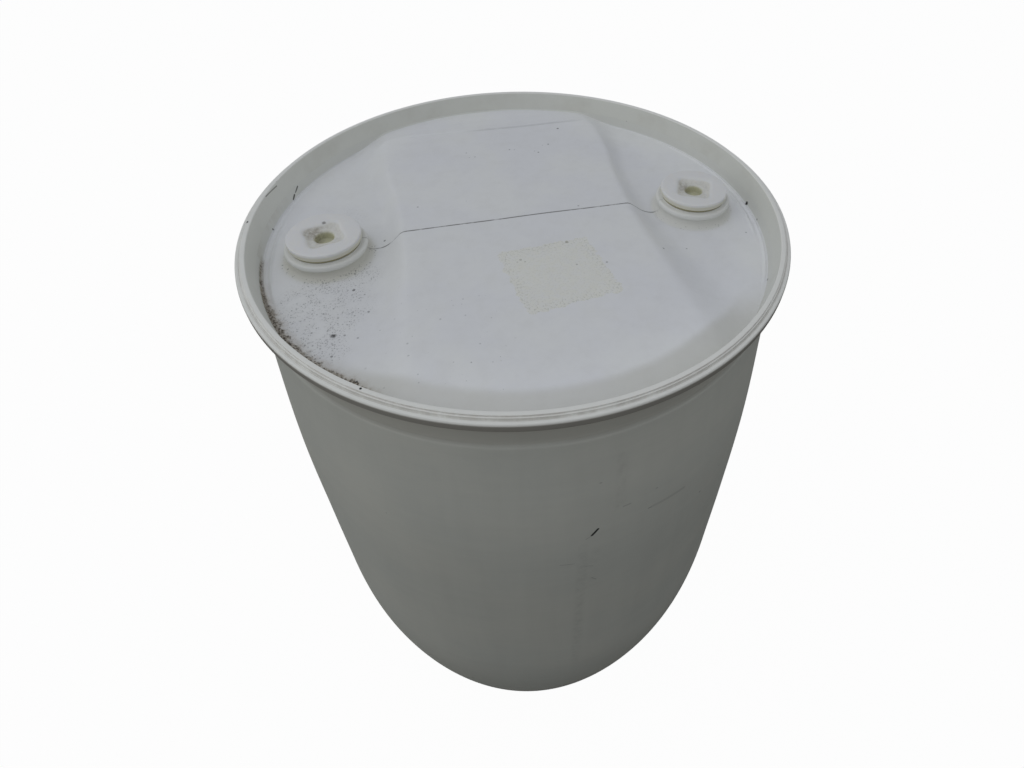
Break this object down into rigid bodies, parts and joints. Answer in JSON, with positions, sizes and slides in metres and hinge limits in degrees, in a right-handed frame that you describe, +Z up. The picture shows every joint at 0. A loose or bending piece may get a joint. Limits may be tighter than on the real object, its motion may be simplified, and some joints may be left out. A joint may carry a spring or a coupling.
{
  "type": "tight-head plastic drum",
  "caption": "Tall closed-top plastic drum with a recessed head, a flanged handling ring round its top and screw plugs set opposite each other in pockets.",
  "frame": {"origin": "centre of the base, on the plane the drum stands on", "axes": "+Z up along the drum's axis; +X from the left bung to the right bung, along the mould's parting line; -Y is the side that faces the camera"},
  "size_m": [0.59, 0.59, 0.875],
  "materials": {
    "body_plastic": "natural white polyethylene, satin from the mould, scuffed and dusty",
    "ring_plastic": "natural white polyethylene, satin",
    "plug_plastic": "moulded white polyethylene, satin",
    "gasket_rubber": "matt"
  },
  "bodies": {
    "drum": {"drum_body": "body_plastic", "handling_ring": "ring_plastic"},
    "left_seal": {"left_gasket": "gasket_rubber"},
    "left_bung": {"left_plug": "plug_plastic"},
    "right_seal": {"right_gasket": "gasket_rubber"},
    "right_bung": {"right_plug": "plug_plastic"}
  },
  "joints": [
    {"name": "left_lift", "type": "slide", "parent": "drum", "child": "left_seal", "axis": [0, 0, 1], "range_m": [0, 0.0156]},
    {"name": "left_turn", "type": "hinge", "parent": "left_seal", "child": "left_bung", "pos_m": [-0.209, 0, 0.86], "axis": [0, 0, 1], "range_deg": [0, 2520]},
    {"name": "right_lift", "type": "slide", "parent": "drum", "child": "right_seal", "axis": [0, 0, 1], "range_m": [0, 0.0161]},
    {"name": "right_turn", "type": "hinge", "parent": "right_seal", "child": "right_bung", "pos_m": [0.209, 0, 0.86], "axis": [0, 0, 1], "range_deg": [0, 1440]}
  ],
  "couplings": [
    {"joint": "left_lift", "follows": "left_turn", "m_per_rad": 0.00035157},
    {"joint": "right_lift", "follows": "right_turn", "m_per_rad": 0.00063662}
  ]
}
